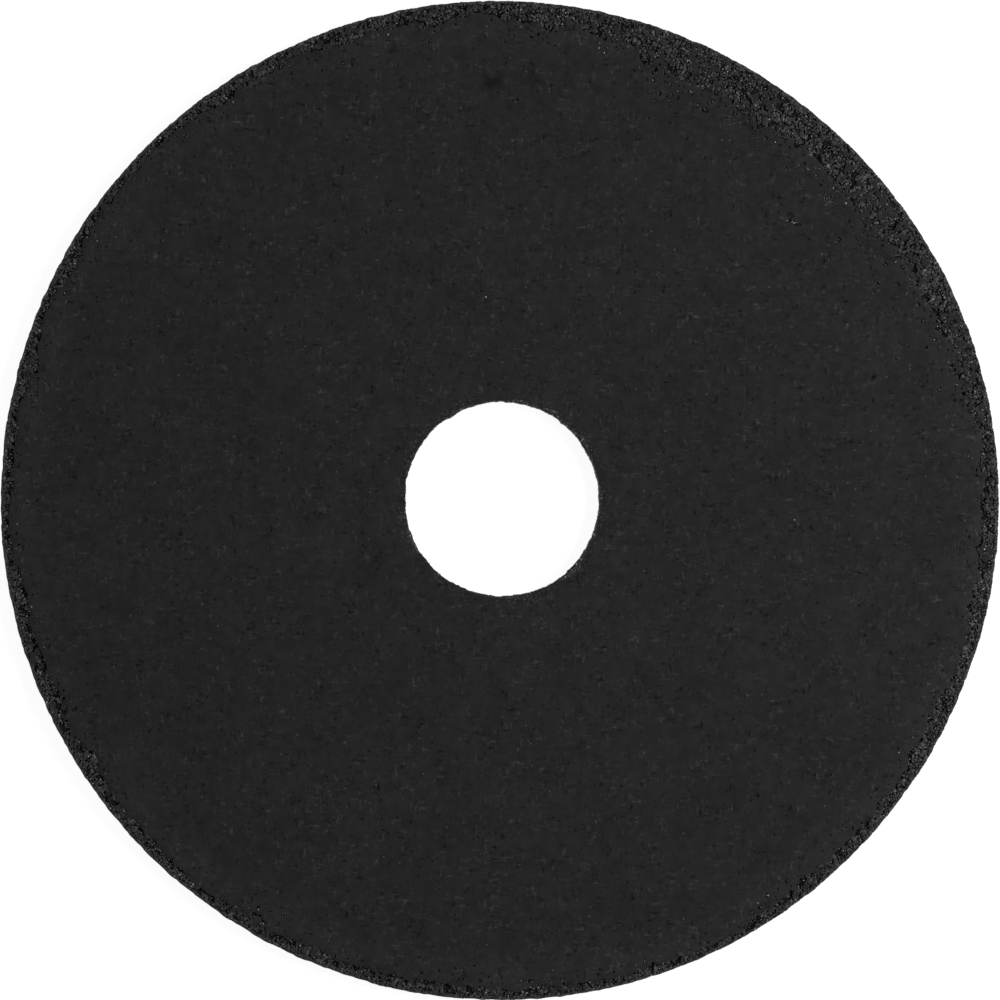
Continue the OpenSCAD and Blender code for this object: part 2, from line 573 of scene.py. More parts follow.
def add_pit(shell, outline, depth, face, inwards, dice):
    """A broken pit in a skin; returns its rim, where the skin meets it. Inwards is the way into the disc."""
    middle = outline.mean(axis=0)
    rings = [shell.add(with_height(outline, face))]
    for share, fall in PIT_STEPS:
        flat = middle + (outline - middle) * share
        flat = flat + dice.uniform(-PIT_JITTER, PIT_JITTER, flat.shape)
        rough = dice.uniform(*PIT_ROUGH, len(flat))
        rings.append(shell.add(with_height(flat, face + inwards * depth * fall * rough)))
    # The pit's floor is near-black painted shade
    shell.bridge(rings, [LIP, PORE])
    floor = face + inwards * depth * dice.uniform(*PIT_FLOOR)
    shell.fan(rings[-1], (*middle, floor), PORE)
    return rings[0]


def pit_outline(middle, size, dice):
    """An uneven round outline about a place."""
    angle = math.tau * np.arange(PIT_POINTS) / PIT_POINTS
    radius = size / 2 * dice.uniform(*PIT_UNEVEN, PIT_POINTS)
    squeeze = np.array((1, dice.uniform(*PIT_SQUEEZE)))
    turn = dice.uniform(0, math.pi)
    x, y = (polar(radius, angle) * squeeze).T
    cos, sin = math.cos(turn), math.sin(turn)
    return middle + np.stack((x * cos - y * sin, x * sin + y * cos), axis=1)


def flake_width(angle):
    """Width of the flaked edge of the bore's front, from raised cosines over its stretches."""
    width = np.full(len(angle), BORE_FLAKE_LEAST)
    for middle, half_span, extra in BORE_FLAKES:
        away = np.abs((np.degrees(angle) - middle + 180) % 360 - 180)
        width += np.where(away < half_span, extra * (1 + np.cos(math.pi * away / half_span)) / 2, 0)
    return width


bore_edge = BORE_R + rags(bore_turn, BORE_RAGS, default_rng(16))
bore_flake = flake_width(bore_angle) * (1 + rags(bore_turn, BORE_FLAKE_RAGS, default_rng(17)))


def ring_maker(shell, angle, dice):
    """A function that adds rings round the axis to a shell, with a roughness outwards and upwards."""

    def ring(radius, height, rough_r=0.0, rough_z=0.0):
        radius = radius + dice.uniform(-rough_r, rough_r, len(angle))
        height = height + dice.uniform(-rough_z, rough_z, len(angle))
        return shell.add(with_height(polar(radius, angle), height))

    return ring


def rim_rings(shell, dice):
    """Rings from the front skin's shoulder over the band and the rim to the back skin's shoulder."""
    ring = ring_maker(shell, rim_angle, dice)

    def half(edge, face, inwards):
        """Rings of one side from its shoulder to the rim's wall; inwards is the way into the disc."""
        floor = face + inwards * BAND_DEPTH
        pores = floor + inwards * PORE_DEPTH
        corner = rim_outline - RIM_ROUND
        lip = np.maximum(corner - LIP_W - rags(rim_turn, LIP_RAGS, dice), edge + LIP_GAP)
        rings = [
            ring(edge - SHOULDER_W, face),
            ring(edge, face + inwards * SHOULDER_DROP, 0.0, SHOULDER_ROUGH),
            ring(edge + FOOT_OUT, pores, PORE_ROUGH, PORE_ROUGH),
            ring((edge + lip) / 2, pores, PORE_ROUGH, 2 * PORE_ROUGH),
            ring(lip, floor + inwards * LIP_DROP, LIP_ROUGH, WEAR_ROUGH),
            ring(corner, floor + inwards * LIP_DROP, RIM_ROUGH, WEAR_ROUGH),
        ]
        for turn in ROUND_TURNS_DEG:
            out = RIM_ROUND * math.sin(math.radians(turn))
            fall = RIM_ROUND * (1 - math.cos(math.radians(turn)))
            rings.append(ring(corner + out, floor + inwards * max(fall, LIP_DROP), RIM_ROUGH, RIM_ROUGH))
        return rings

    low = BAND_DEPTH + RIM_ROUND
    front = half(front_edge, TOP, -1)
    back = half(back_edge, 0, 1)
    wall = np.linspace(TOP - low, low, RIM_WALL_RINGS)
    middle = [ring(rim_outline, z, RIM_ROUGH, WEAR_ROUGH) for z in wall]
    rings = front + middle + back[::-1]
    # The band's floor between the grains is near-black painted shade
    half_surfaces = [SKIN, LIP, PORE, PORE, LIP, LIP, LIP]
    shell.bridge(rings, half_surfaces + [LIP] * (len(middle) + 1) + half_surfaces[::-1])
    return rings[0], rings[-1]


def bore_rings(shell, dice):
    """Rings from the front skin's inner shoulder down the bore to the back skin's inner edge."""
    ring = ring_maker(shell, bore_angle, dice)
    edge = bore_edge
    rings = [ring(edge + bore_flake + SHOULDER_W, TOP)]
    for share, fall, rough in FLAKE_RINGS:
        rings.append(ring(edge + share * bore_flake, TOP - fall * FLAKE_DROP, 0.0, rough))
    rings.append(ring(edge + FLAKE_FOOT, TOP - FLAKE_DROP, 0.0, FLAKE_FOOT_ROUGH))
    # The flaked ledge is painted paler as a highlight of its step; its foot by the wall is painted shade
    surfaces = [SKIN, LEDGE_WEAR_AND_HIGHLIGHT, LEDGE_WEAR_AND_HIGHLIGHT, PORE]
    for z in np.linspace(TOP - FLAKE_DROP - WALL_GAP, WALL_LOW, WALL_RINGS):
        rings.append(ring(edge + rags(bore_turn, WALL_RAGS, dice), z, WALL_ROUGH, 2 * WALL_ROUGH))
        surfaces.append(LIP)
    rings.append(ring(edge + BACK_CORNER, BACK_CORNER, WALL_ROUGH, WALL_ROUGH))
    rings.append(ring(edge + BACK_SHOULDER_W, 0))
    shell.bridge(rings, surfaces + [LIP, SKIN])
    return rings[0], rings[-1]


class Pits:
    """Pits of one skin, each kept only where it is clear of the skin's edge and of the others."""

    def __init__(self, edge):
        self.edge = edge
        self.found = []
        self.middles = np.zeros((0, 2))
        self.sizes = np.zeros(0)

    def add(self, outline, depth, least_crumbs):
        middle = outline.mean(axis=0)
        size = np.hypot(*(outline - middle).T).max()
        along = refined(outline, PIT_GAP, 0, default_rng(0))
        edge = at_turn(turn_of(along), self.edge) - SHOULDER_W
        by_edge = (np.hypot(*along.T) > edge - PIT_EDGE_GAP).any()
        by_pit = (np.hypot(*(self.middles - middle).T) < self.sizes + size + PIT_GAP).any()
        if by_edge or by_pit:
            return
        self.found.append((outline, depth, least_crumbs))
        self.middles = np.vstack((self.middles, middle))
        self.sizes = np.append(self.sizes, size)

    def add_chance(self, count, dice):
        """Small pits strewn along the edge of the skin."""
        for turn in dice.uniform(0, 1, count):
            edge = at_turn(turn, self.edge)
            inset = RIM_R - edge + SHOULDER_W + dice.exponential(CHANCE_PIT_INSET)
            size = dice.uniform(*CHANCE_PIT_SIZES)
            middle = polar(RIM_R - inset - size / 2, math.tau * turn)
            self.add(pit_outline(middle, size, dice), size * dice.uniform(*SMALL_PIT_DEPTHS), 0)

    def add_bites(self, count, dice):
        """Clusters of pits near the skin's edge, most where the band is wide."""
        weight = (RIM_R - self.edge) ** BITE_GATHERING
        for turn in dice.choice(rim_turn, count, p=weight / weight.sum()):
            edge = at_turn(turn, self.edge)
            middle = polar(edge - SHOULDER_W - dice.exponential(BITE_INSET), math.tau * turn)
            for spot in middle + dice.uniform(-BITE_REACH, BITE_REACH, (BITE_PITS, 2)):
                outline = pit_outline(spot, dice.uniform(*BITE_SIZES), dice)
                self.add(outline, BAND_DEPTH * dice.uniform(*BITE_DEPTHS), 1)

    def add_satellites(self, dice):
        """Small pits strewn round each of the pits made so far."""
        for middle, reach in list(zip(self.middles, self.sizes)):
            for angle in dice.uniform(0, math.tau, SATELLITES):
                size = dice.uniform(*SATELLITE_SIZES)
                spot = middle + polar(reach + size / 2 + dice.exponential(SATELLITE_GAP), angle)
                self.add(pit_outline(spot, size, dice), size * dice.uniform(*SMALL_PIT_DEPTHS), 1)

    def cut(self, shell, face, inwards, dice):
        return [add_pit(shell, outline, depth, face, inwards, dice) for outline, depth, _ in self.found]


def make_disc_shell(front_pits, back_pits):
    shell = Shell()
    front_ring, back_ring = rim_rings(shell, default_rng(21))
    front_bore, back_bore = bore_rings(shell, default_rng(22))
    front_holes = front_pits.cut(shell, TOP, -1, default_rng(23))
    back_holes = back_pits.cut(shell, 0, 1, default_rng(24))
    fill_skin(shell, [front_ring, front_bore, *front_holes], TOP, default_rng(25))
    fill_skin(shell, [back_ring, back_bore, *back_holes], 0, default_rng(26))
    return shell


def make_front_pits(dice):
    pits = Pits(front_edge)
    for outline in chip_outlines:
        x, y = outline.mean(axis=0)
        pits.add(refined(outline, CHIP_STEP, CHIP_JITTER, dice), TOP - cad_height(x, y), CHIP_CRUMBS)
    for place, inset, size in SEEN_PITS:
        middle = polar(RIM_R - inset, math.radians(place))
        pits.add(pit_outline(middle, size, dice), PIT_DEPTH, 1)
    pits.add_satellites(dice)
    pits.add_bites(BITES, dice)
    pits.add_chance(FRONT_CHANCE_PITS, dice)
    return pits


def make_piece(name, points, faces, materials, surfaces=None, sharp_deg=None):
    """A mesh object from points in millimetres, smooth up to an angle or flat where none is given."""
    mesh = bpy.data.meshes.new(name)
    mesh.from_pydata((np.asarray(points) / PER_M).tolist(), [], faces)
    if sharp_deg is not None:
        tidy = bmesh.new()
        tidy.from_mesh(mesh)
        bmesh.ops.recalc_face_normals(tidy, faces=tidy.faces)
        tidy.to_mesh(mesh)
        tidy.free()
        mesh.polygons.foreach_set("use_smooth", np.ones(len(mesh.polygons), bool))
        mesh.set_sharp_from_angle(angle=math.radians(sharp_deg))
    for material in materials:
        mesh.materials.append(material)
    if surfaces is not None:
        mesh.polygons.foreach_set("material_index", surfaces)
    mesh.update()
    piece = bpy.data.objects.new(name, mesh)
    bpy.context.scene.collection.objects.link(piece)
    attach(piece, "root")
    return piece


# Grains

def icosahedron():
    """Corners and triangles of a unit icosahedron."""
    ball = bmesh.new()
    bmesh.ops.create_icosphere(ball, subdivisions=1, radius=1)
    ball.verts.index_update()
    points = np.array([v.co for v in ball.verts])
    triangles = np.array([[v.index for v in f.verts] for f in ball.faces])
    ball.free()
    return points, triangles


def octahedron():
    """Corners and triangles of a unit octahedron: four corners round its waist, its tip and its foot."""
    points = np.array([(1, 0, 0), (0, 1, 0), (-1, 0, 0), (0, -1, 0), (0, 0, 1), (0, 0, -1)])
    triangles = []
    for a, b in ((0, 1), (1, 2), (2, 3), (3, 0)):
        triangles += [(a, b, 4), (b, a, 5)]
    return points, np.array(triangles)


def random_turns(count, dice):
    """Rotation matrices in random directions, from random quaternions."""
    return np.array([Quaternion(q).normalized().to_matrix() for q in dice.normal(size=(count, 4))])


def rub_flat(points, radii, outwards, dice):
    """Rubs the outer side of each grain down to a nearly level flat."""
    count = len(points)
    slope = dice.normal(0, FLAT_TILT, (count, 2))
    level = radii * dice.uniform(*FLAT_HEIGHTS, count)
    limit = level[:, None] + np.einsum("nkj,nj->nk", points[:, :, :2], slope)
    points[:, :, 2] = outwards * np.minimum(outwards * points[:, :, 2], limit)


def grains(places, radii, form, dice, outwards=0):
    """Points and triangles of angular grains, cut off where they would stand out of the wheel."""
    corners, triangles = form
    count = len(places)
    knock = dice.uniform(*CORNER_SHARES, (count, len(corners), 1))
    squash = dice.uniform(*WIDTH_SHARES, (count, 1, 3))
    points = corners[None] * knock * squash * radii[:, None, None]
    points = np.einsum("nij,nkj->nki", random_turns(count, dice), points)
    if outwards:
        rub_flat(points, radii, outwards, dice)
    points = (points + places[:, None]).reshape(-1, 3)
    points[:, 2] = np.clip(points[:, 2], 0, TOP)
    reach = np.hypot(points[:, 0], points[:, 1])
    worn = at_turn(turn_of(points), rim_outline) + GRAIN_PROUD
    points[:, :2] *= np.minimum(1, np.minimum(worn, RIM_R) / reach)[:, None]
    faces = triangles[None] + (np.arange(count) * len(corners))[:, None, None]
    return points, faces.reshape(-1, 3)


def patches(places, size, dice):
    """Smooth noise from 0 to 1 over the wheel's plane, with patches of about one size."""
    count = int(2 * RIM_R / size) + SPARE_CELLS
    values = dice.uniform(0, 1, (count, count))
    spot = (places + RIM_R) / size
    low = np.floor(spot).astype(int)
    x, y = (spot - low).T
    i, j = low.T
    near = values[i, j] * (1 - x) + values[i + 1, j] * x
    far = values[i, j + 1] * (1 - x) + values[i + 1, j + 1] * x
    return near * (1 - y) + far * y


def row_turns(count, row, jitter, dice):
    """Turns of the grains in a row, set off by half a step in every other row."""
    return (np.arange(count) + 0.5 * (row % 2) + dice.uniform(-jitter, jitter, count)) / count


def band_places(edge, pitch, lost_at_edge, lost_at_rim, dice):
    """Jittered places over an open band, with gaps where grains have broken out."""
    places = []
    widest = RIM_R - edge.min()
    for k, inset in enumerate(np.arange(RIM_INSET, widest, ROW_SPACING * pitch)):
        count = int(math.tau * (RIM_R - inset) / pitch)
        turn = row_turns(count, k, JITTER_ALONG, dice)
        radius = RIM_R - inset + dice.uniform(-JITTER_ACROSS, JITTER_ACROSS, count) * pitch
        skin = at_turn(turn, edge)
        beyond = radius > skin - UNDER_SKIN
        places.append(np.stack((radius, turn, radius - skin), axis=1)[beyond])
    radius, turn, from_edge = np.concatenate(places).T
    flat = polar(radius, math.tau * turn)
    lost = lost_at_edge + (lost_at_rim - lost_at_edge) * np.clip(from_edge / LOST_REACH, 0, 1)
    gaps = patches(flat, GAP_SIZE, dice)
    shares = np.linspace(0, 1, LEVEL_SHARES)
    return flat[gaps > np.interp(lost, shares, np.quantile(gaps, shares))]


def grain_radii(count, mean, dice):
    return mean * np.exp(np.clip(dice.normal(0, GRAIN_SPREAD, count), *SPREAD_LIMITS))


def corner_fall(flat):
    """How far the rim's rounded corner lies below the band's floor at each place."""
    corner = at_turn(turn_of(flat), rim_outline) - RIM_ROUND
    past = np.clip(np.hypot(*flat.T) - corner, 0, CORNER_REACH * RIM_ROUND)
    return RIM_ROUND - np.sqrt(RIM_ROUND ** 2 - past ** 2)


def band_grains(name, edge, face, inwards, material, dice):
    """Grains over one band, worn flat; inwards is the way into the disc."""
    flat = band_places(edge, GRAIN_PITCH, LOST_AT_EDGE, LOST_AT_RIM, dice)
    radii = grain_radii(len(flat), GRAIN_R, dice)
    depth = BAND_DEPTH + corner_fall(flat) + dice.uniform(*GRAIN_DEPTHS, len(flat))
    points, faces = grains(with_height(flat, face + inwards * depth), radii, ROUGH_BALL, dice, -inwards)
    make_piece(name, points, faces.tolist(), [material])


def strewn(name, places, radius, form, materials, pale_share, dice):
    """Crumbs at places, with a share of them in the second of two materials."""
    count = len(places)
    points, faces = grains(places, grain_radii(count, radius, dice), form, dice)
    pale = dice.uniform(0, 1, count) < pale_share
    surfaces = np.repeat(pale.astype(int), len(form[1]))
    make_piece(name, points, faces.tolist(), materials, surfaces)


def band_grit(name, edge, face, inwards, materials, dice):
    """Grit between and on the grains of one band."""
    flat = band_places(edge, GRIT_PITCH, 0, 0, dice)
    depth = BAND_DEPTH + corner_fall(flat) + dice.uniform(*GRIT_DEPTHS, len(flat))
    places = with_height(flat, face + inwards * depth)
    strewn(name, places, GRIT_R, CRUMB, materials, GRIT_PALE_SHARE, dice)


def skin_flakes(name, count, edge, face, inwards, materials, dice):
    """Flakes of skin left on one band, in patches, with materials for their tops and their sides."""
    outer = RIM_R - RIM_ROUND - RIM_INSET
    widths = outer - edge
    turn = dice.choice(rim_turn, count, p=widths / widths.sum())
    skin = at_turn(turn, edge)
    size = dice.uniform(*FLAKE_SIZES, count)
    room = np.maximum(outer - skin - size / 2, 0)
    middle = polar(skin + room * dice.uniform(0, 1, count), math.tau * turn)
    kept = patches(middle, FLAKE_PATCH, dice) > FLAKE_LEVEL
    shell = Shell()
    for spot, across in zip(middle[kept], size[kept]):
        outline = pit_outline(spot, across, dice)
        top = face + inwards * dice.uniform(*FLAKE_FALL)
        low = face + inwards * (BAND_DEPTH + PORE_DEPTH)
        centre = outline.mean(axis=0)
        inner = centre + (outline - centre) * (1 - FLAKE_BEVEL / across)
        rings = [
            shell.add(with_height(inner, top)),
            shell.add(with_height(outline, top + inwards * FLAKE_BEVEL / 2)),
            shell.add(with_height(outline, low)),
        ]
        shell.fan(rings[0], (*inner.mean(axis=0), top), 0)
        shell.bridge(rings, [1, 1])
        shell.fan(rings[2], (*centre, low), 1)
    make_piece(name, shell.points, shell.faces, materials, shell.surfaces, SHARP_DEG)


def pit_crumbs(name, pits, face, inwards, materials, dice):
    """Crumbs strewn over the floors of a skin's pits."""
    places = []
    for outline, depth, least in pits.found:
        middle = outline.mean(axis=0)
        x, y = (outline - middle).T
        area = abs(np.sum(x * np.roll(y, -1) - y * np.roll(x, -1))) / 2
        count = max(least, dice.poisson(PIT_CRUMBS * area))
        corner = outline[dice.integers(0, len(outline), count)]
        flat = middle + (corner - middle) * dice.uniform(0, PIT_CRUMB_REACH, (count, 1))
        fall = depth * dice.uniform(*PIT_CRUMB_DEPTHS, count)
        places.append(with_height(flat, face + inwards * fall))
    strewn(name, np.concatenate(places), PIT_CRUMB_R, ROUGH_BALL, materials, PIT_PALE_SHARE, dice)


def flake_crumbs(name, materials, dice):
    """Crumbs on the flaked front edge of the bore, most where it is wide."""
    area = math.tau * BORE_R / BORE_POINTS * bore_flake
    count = dice.poisson(FLAKE_CRUMBS * area.sum())
    spot = dice.choice(BORE_POINTS, count, p=area / area.sum())
    share = dice.uniform(*FLAKE_CRUMB_SHARES, count)
    flat = polar(bore_edge[spot] + bore_flake[spot] * share, bore_angle[spot])
    fall = FLAKE_DROP * np.clip(1 - share, FLAKE_CRUMB_FALL, 1)
    places = with_height(flat, TOP - fall - dice.uniform(0, FLAKE_CRUMB_SINK, count))
    strewn(name, places, GRIT_R, ROUGH_BALL, materials, FLAKE_PALE_SHARE, dice)


def rim_grains(name, material, dice):
    """Grains in rows over the wall of the rim."""
    rows = []
    count = int(math.tau * RIM_R / GRAIN_PITCH)
    lowest = BAND_DEPTH + RIM_ROW_INSET
    for k, height in enumerate(np.linspace(lowest, TOP - lowest, RIM_ROWS)):
        turn = row_turns(count, k, RIM_ROW_JITTER, dice)
        radius = RIM_R - RIM_GRAIN_INSET + dice.uniform(*RIM_GRAIN_JITTER, count)
        flat = polar(radius, math.tau * turn)
        rows.append(with_height(flat, height + dice.uniform(-RIM_GRAIN_LIFT, RIM_GRAIN_LIFT, count)))
    places = np.concatenate(rows)
    points, faces = grains(places, grain_radii(len(places), GRAIN_R, dice), ROUGH_BALL, dice)
    make_piece(name, points, faces.tolist(), [material])


ROUGH_BALL = icosahedron()
CRUMB = octahedron()


# Materials

class Recipe:
    """Adds nodes to a node tree. An input is a number, a colour or another node's output."""

    def __init__(self, tree):
        self.tree = tree
        self.tree.nodes.clear()

    def add(self, kind, inputs=None, **settings):
        node = self.tree.nodes.new(kind)
        for name, value in settings.items():
            setattr(node, name, value)
        for name, value in (inputs or {}).items():
            if isinstance(value, bpy.types.NodeSocket):
                self.tree.links.new(value, node.inputs[name])
            else:
                node.inputs[name].default_value = value
        return node

    def noise(self, place, size_mm, detail=2.0, rough=0.5, bent=0.0):
        """Noise from 0 to 1 with features of about one size, bent by a share of it."""
        settings = {"Vector": place, "Scale": PER_M / size_mm, "Detail": detail}
        settings.update({"Roughness": rough, "Distortion": bent})
        return self.add("ShaderNodeTexNoise", settings).outputs["Fac"]

    def math(self, operation, a, b=0.0, c=0.0):
        return self.add("ShaderNodeMath", {0: a, 1: b, 2: c}, operation=operation).outputs[0]

    def times(self, a, b):
        return self.math("MULTIPLY", a, b)

    def between(self, value, low, high, to_low=0.0, to_high=1.0):
        """Maps a value from one span to another, held at its ends."""
        spans = {"Value": value, 1: low, 2: high, 3: to_low, 4: to_high}
        return self.add("ShaderNodeMapRange", spans, clamp=True).outputs[0]

    def grey(self, value):
        return self.add("ShaderNodeCombineColor", {0: value, 1: value, 2: value}).outputs[0]

    def place(self):
        return self.add("ShaderNodeTexCoord").outputs["Object"]

    def bump(self, strength, distance, height):
        inputs = {"Strength": strength, "Distance": distance, "Height": height}
        return self.add("ShaderNodeBump", inputs).outputs[0]


def new_material(name):
    material = bpy.data.materials.new(name)
    material.use_nodes = True
    return material, Recipe(material.node_tree)


def finish_material(recipe, shader):
    recipe.add("ShaderNodeOutputMaterial", {"Surface": shader})


def finish_abrasive(recipe, tone, roughness, specular, bump=None):
    """Ends a material of the wheel, which is grey all over."""
    inputs = {"Base Color": recipe.grey(tone), "Roughness": roughness, "Specular IOR Level": specular}
    if bump is not None:
        inputs["Normal"] = bump
    finish_material(recipe, recipe.add("ShaderNodeBsdfPrincipled", inputs).outputs[0])


def specks(recipe, place, cell_mm, radius_mm, share):
    """1 inside small round specks and 0 elsewhere, in a share of the cells."""
    settings = {"Vector": place, "Scale": PER_M / cell_mm}
    cells = recipe.add("ShaderNodeTexVoronoi", settings, voronoi_dimensions="2D").outputs
    radius = radius_mm / cell_mm
    near = recipe.between(cells["Distance"], SPECK_CORE * radius, radius, 1.0, 0.0)
    pick = recipe.add("ShaderNodeSeparateColor", {0: cells["Color"]}).outputs[0]
    return recipe.times(near, recipe.math("LESS_THAN", pick, share))


def smudge(recipe, place, blotch, x, y, reach, darkest):
    """Shade of one dark smudge on the front skin, with a blotchy edge."""
    middle = (x / PER_M, y / PER_M, cad_high.z)
    reach = reach / PER_M
    away = recipe.add("ShaderNodeVectorMath", {0: place, 1: middle}, operation="DISTANCE").outputs["Value"]
    wander = recipe.between(blotch, *MIDDLE, -SMUDGE_WANDER * reach, SMUDGE_WANDER * reach)
    return recipe.between(recipe.math("ADD", away, wander), SMUDGE_CORE * reach, reach, darkest, 1.0)


def skin_material():
    """Pressed resin skin: near black, mottled, with short strokes and fine light and dark specks."""
    material, recipe = new_material("pressed_skin")
    place = recipe.place()
    fine = recipe.noise(place, *FINE_NOISE)
    blotch = recipe.noise(place, *BLOTCH_NOISE)
    mottle = recipe.noise(place, *MOTTLE_NOISE)
    busy = recipe.between(recipe.noise(place, *BUSY_NOISE), *BUSY_SHARES)
    tone = recipe.between(blotch, *BLOTCH_TONES)
    tone = recipe.times(tone, recipe.between(mottle, *MOTTLE_TONES))
    tone = recipe.times(tone, recipe.between(fine, *FINE_TONES))
    relief = fine
    for stretch in STROKE_STRETCHES:
        drawn = recipe.add("ShaderNodeVectorMath", {0: place, 1: stretch}, operation="MULTIPLY").outputs[0]
        stroke = recipe.noise(drawn, *STROKE_NOISE)
        light_stroke = recipe.between(stroke, *LIGHT_STROKES)
        dark_stroke = recipe.between(stroke, *DARK_STROKES)
        strokes = recipe.times(recipe.math("ADD", light_stroke, dark_stroke), busy)
        tone = recipe.math("ADD", tone, strokes)
        relief = recipe.math("MULTIPLY_ADD", strokes, STROKE_RELIEF, relief)
    light = specks(recipe, place, *LIGHT_SPECKS)
    dark = specks(recipe, place, *DARK_SPECKS)
    tone = recipe.math("MULTIPLY_ADD", light, LIGHT_SPECK_TONE, tone)
    tone = recipe.math("MULTIPLY_ADD", dark, DARK_SPECK_TONE, tone)
    relief = recipe.math("MULTIPLY_ADD", dark, DARK_SPECK_RELIEF, relief)
    from_axis = recipe.add("ShaderNodeVectorMath", {0: place}, operation="LENGTH").outputs["Value"]

    def ring_tone(radius, start, end, *tones):
        return recipe.between(from_axis, start * radius / PER_M, end * radius / PER_M, *tones)

    crumbling = ring_tone(BORE_R, *CRUMBLING)
    crumbling = recipe.times(crumbling, recipe.between(mottle, *CRUMBLING_SHARES))
    for *speck_form, speck_tone in BORE_SPECKS:
        speck = recipe.times(specks(recipe, place, *speck_form), crumbling)
        tone = recipe.math("MULTIPLY_ADD", speck, speck_tone, tone)
    for place_and_shade in SMUDGES:
        tone = recipe.times(tone, smudge(recipe, place, blotch, *place_and_shade))
    tone = recipe.times(tone, ring_tone(RIM_R, *NEAR_BAND))
    # Painted glow of light from the white bore: paler skin round it
    tone = recipe.times(tone, ring_tone(BORE_R, *PAINTED_BORE_GLOW))
    tone = recipe.times(tone, SKIN_GREY)
    roughness = recipe.between(fine, *SKIN_ROUGHNESS)
    finish_abrasive(recipe, tone, roughness, SKIN_SPECULAR, recipe.bump(*SKIN_BUMP, relief))
    return material


def grain_material(name, grey, tones, specular):
    """Angular grain in resin, with facets that glint; its tone varies from grain to grain, the palest with a
    painted glint.
    """
    material, recipe = new_material(name)
    own = recipe.add("ShaderNodeNewGeometry").outputs["Random Per Island"]
    grit = recipe.noise(recipe.place(), *GRAIN_NOISE)
    tone = recipe.between(own, 0.0, 1.0, *tones)
    # Painted glint: the palest grains and crumbs are made paler still
    tone = recipe.math("ADD", tone, recipe.between(own, *PAINTED_GLINT_GAIN))
    tone = recipe.times(tone, recipe.between(grit, *GRAIN_GRIT_TONES))
    tone = recipe.times(tone, grey)
    finish_abrasive(recipe, tone, recipe.between(grit, *GRAIN_ROUGHNESS), specular)
    return material


def pore_shade_material():
    """Near-black hollows between the grains and in pits: their near-black grey is painted shade."""
    material, recipe = new_material("open_pore_painted_shade")
    grit = recipe.noise(recipe.place(), *PORE_NOISE)
    finish_abrasive(recipe, recipe.between(grit, *MIDDLE, *PORE_SHADE_GREYS), PORE_ROUGHNESS, PORE_SPECULAR)
    return material


def worn_material(name, greys):
    """Rubbed grain and resin of rim and bore wall, and the bore's worn ledge, paler as a painted highlight.
    """
    material, recipe = new_material(name)
    grit = recipe.noise(recipe.place(), *WORN_NOISE)
    tone = recipe.between(grit, *WORN_SPAN, *greys)
    roughness = recipe.between(grit, *WORN_ROUGHNESS)
    finish_abrasive(recipe, tone, roughness, GRAIN_SPECULAR, recipe.bump(*WORN_BUMP, grit))
    return material


# The wheel

front_pits = make_front_pits(default_rng(13))
back_pits = Pits(back_edge)
back_pits.add_chance(BACK_CHANCE_PITS, default_rng(14))
disc = make_disc_shell(front_pits, back_pits)
grain = grain_material("open_grain", GRAIN_GREY, GRAIN_TONES, GRAIN_SPECULAR)
# Pale crumbs: light-coloured particles, made paler still as painted glints
pale_crumb_and_glint = grain_material("pale_crumb_and_glint", CRUMB_AND_GLINT_GREY, CRUMB_AND_GLINT_TONES, CRUMB_SPECULAR)
surfaces = [
    skin_material(),
    pore_shade_material(),
    worn_material("worn_lip", WORN_GREYS),
    # Worn ledge round the bore, with paler greys as a painted highlight
    worn_material("worn_ledge_painted_highlight", LEDGE_WEAR_AND_HIGHLIGHT_GREYS),
]
pressed_disc = make_piece("pressed_disc", disc.points, disc.faces, surfaces, disc.surfaces, SHARP_DEG)
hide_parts("wheel")
band_grains("front_grain", front_edge, TOP, -1, grain, default_rng(31))
band_grains("back_grain", back_edge, 0, 1, grain, default_rng(32))
rim_grains("rim_grain", grain, default_rng(33))
both = [grain, pale_crumb_and_glint]
band_grit("front_grit", front_edge, TOP, -1, both, default_rng(37))
band_grit("back_grit", back_edge, 0, 1, both, default_rng(38))
flake_surfaces = [surfaces[SKIN], surfaces[LIP]]
skin_flakes("front_flakes", FRONT_FLAKES, front_edge, TOP, -1, flake_surfaces, default_rng(39))
skin_flakes("back_flakes", BACK_FLAKES, back_edge, 0, 1, flake_surfaces, default_rng(40))
pit_crumbs("front_crumbs", front_pits, TOP, -1, both, default_rng(34))
pit_crumbs("back_crumbs", back_pits, 0, 1, both, default_rng(35))
flake_crumbs("bore_crumbs", both, default_rng(36))


# Studio

def white_where_seen(recipe, seen_shader, lit_shader):
    """One shader for rays that see the background, straight or in a gloss, and another for light."""
    path = recipe.add("ShaderNodeLightPath").outputs
    seen = recipe.math("MAXIMUM", path["Is Camera Ray"], path["Is Glossy Ray"])
    seen = recipe.math("MAXIMUM", seen, path["Is Transmission Ray"])
    return recipe.add("ShaderNodeMixShader", {0: seen, 1: lit_shader, 2: seen_shader}).outputs[0]


def make_world():
    world = bpy.data.worlds.new("studio")
    world.use_nodes = True
    recipe = Recipe(world.node_tree)
    seen = recipe.add("ShaderNodeBackground", {"Color": WHITE, "Strength": 1.0}).outputs[0]
    fill = recipe.add("ShaderNodeBackground", {"Color": WHITE, "Strength": FILL}).outputs[0]
    recipe.add("ShaderNodeOutputWorld", {"Surface": white_where_seen(recipe, seen, fill)})
    bpy.context.scene.world = world


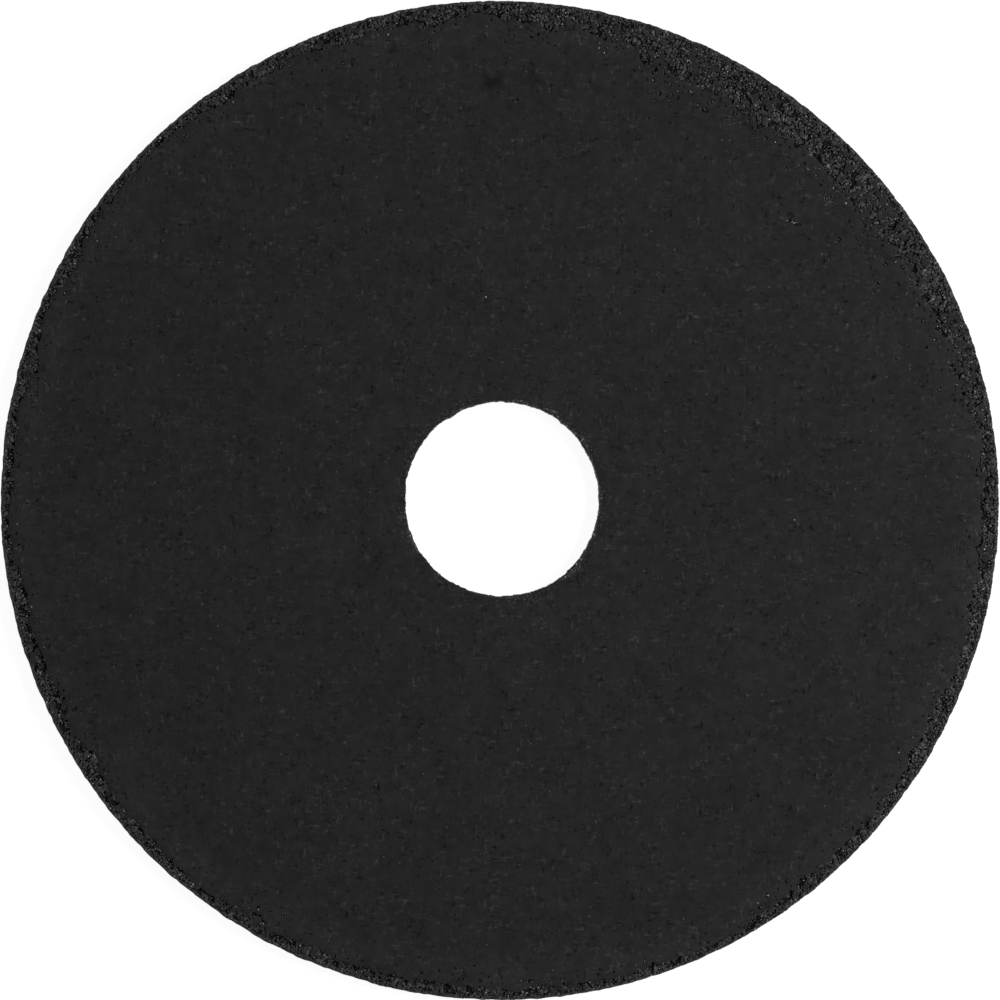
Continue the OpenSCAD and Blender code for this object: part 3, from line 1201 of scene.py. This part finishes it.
def make_floor():
    """White floor that keeps a faint shadow where the camera sees it."""
    material, recipe = new_material("white_floor")
    away = recipe.add("ShaderNodeVectorMath", {0: recipe.place()}, operation="LENGTH").outputs["Value"]
    level = recipe.between(away, *WHITE_REACH, FLOOR_GLOW, 1.0)
    glow = recipe.add("ShaderNodeEmission", {"Color": WHITE, "Strength": level}).outputs[0]
    shade = recipe.add("ShaderNodeBsdfDiffuse", {"Color": FLOOR_SHADE}).outputs[0]
    seen = recipe.add("ShaderNodeAddShader", {0: glow, 1: shade}).outputs[0]
    lit = recipe.add("ShaderNodeBsdfDiffuse", {"Color": FLOOR_GREY}).outputs[0]
    finish_material(recipe, white_where_seen(recipe, seen, lit))
    mesh = bpy.data.meshes.new("floor")
    half = FLOOR_SIZE / 2
    corners = [(-half, -half, 0), (half, -half, 0), (half, half, 0), (-half, half, 0)]
    mesh.from_pydata(corners, [], [(0, 1, 2, 3)])
    mesh.materials.append(material)
    floor = bpy.data.objects.new("floor", mesh)
    floor.location.z = cad_low.z - FLOOR_DROP
    bpy.context.scene.collection.objects.link(floor)


def make_softbox(name, place, size, power):
    """Square area lamp at a place in metres that faces the wheel."""
    lamp = bpy.data.lights.new(name, "AREA")
    lamp.shape = "SQUARE"
    lamp.size = size
    lamp.energy = power
    softbox = bpy.data.objects.new(name, lamp)
    softbox.location = place
    softbox.rotation_euler = (-Vector(place)).to_track_quat("-Z", "Y").to_euler()
    bpy.context.scene.collection.objects.link(softbox)


def make_camera():
    """Camera nearly straight above the wheel, framed as the photograph."""
    lens = bpy.data.cameras.new("camera")
    lens.lens = LENS_MM
    lens.sensor_width = SENSOR_MM
    half_frame = RIM_R * FRAME_HALF_PX / RIM_R_PX
    distance = half_frame * LENS_MM / (SENSOR_MM / 2)
    mm_per_px = half_frame / FRAME_HALF_PX
    aside = (FRAME_HALF_PX - WHEEL_X_PX) * mm_per_px
    along = (WHEEL_Y_PX - FRAME_HALF_PX) * mm_per_px
    target = Vector((aside, along, TOP - BAND_DEPTH - RIM_ROUND))
    tilt = math.radians(TILT_DEG)
    towards = math.radians(TILT_TOWARDS_DEG)
    back = Vector((math.sin(tilt) * math.cos(towards), math.sin(tilt) * math.sin(towards), math.cos(tilt)))
    right = Vector((0, 1, 0)).cross(back).normalized()
    upward = back.cross(right)
    camera = bpy.data.objects.new("camera", lens)
    camera.location = (target + distance * back) / PER_M
    camera.rotation_euler = Matrix((right, upward, back)).transposed().to_euler()
    bpy.context.scene.collection.objects.link(camera)
    bpy.context.scene.camera = camera


make_world()
make_floor()
for lamp in SOFTBOXES:
    make_softbox(*lamp)
make_camera()
bpy.context.scene.view_settings.view_transform = "Standard"
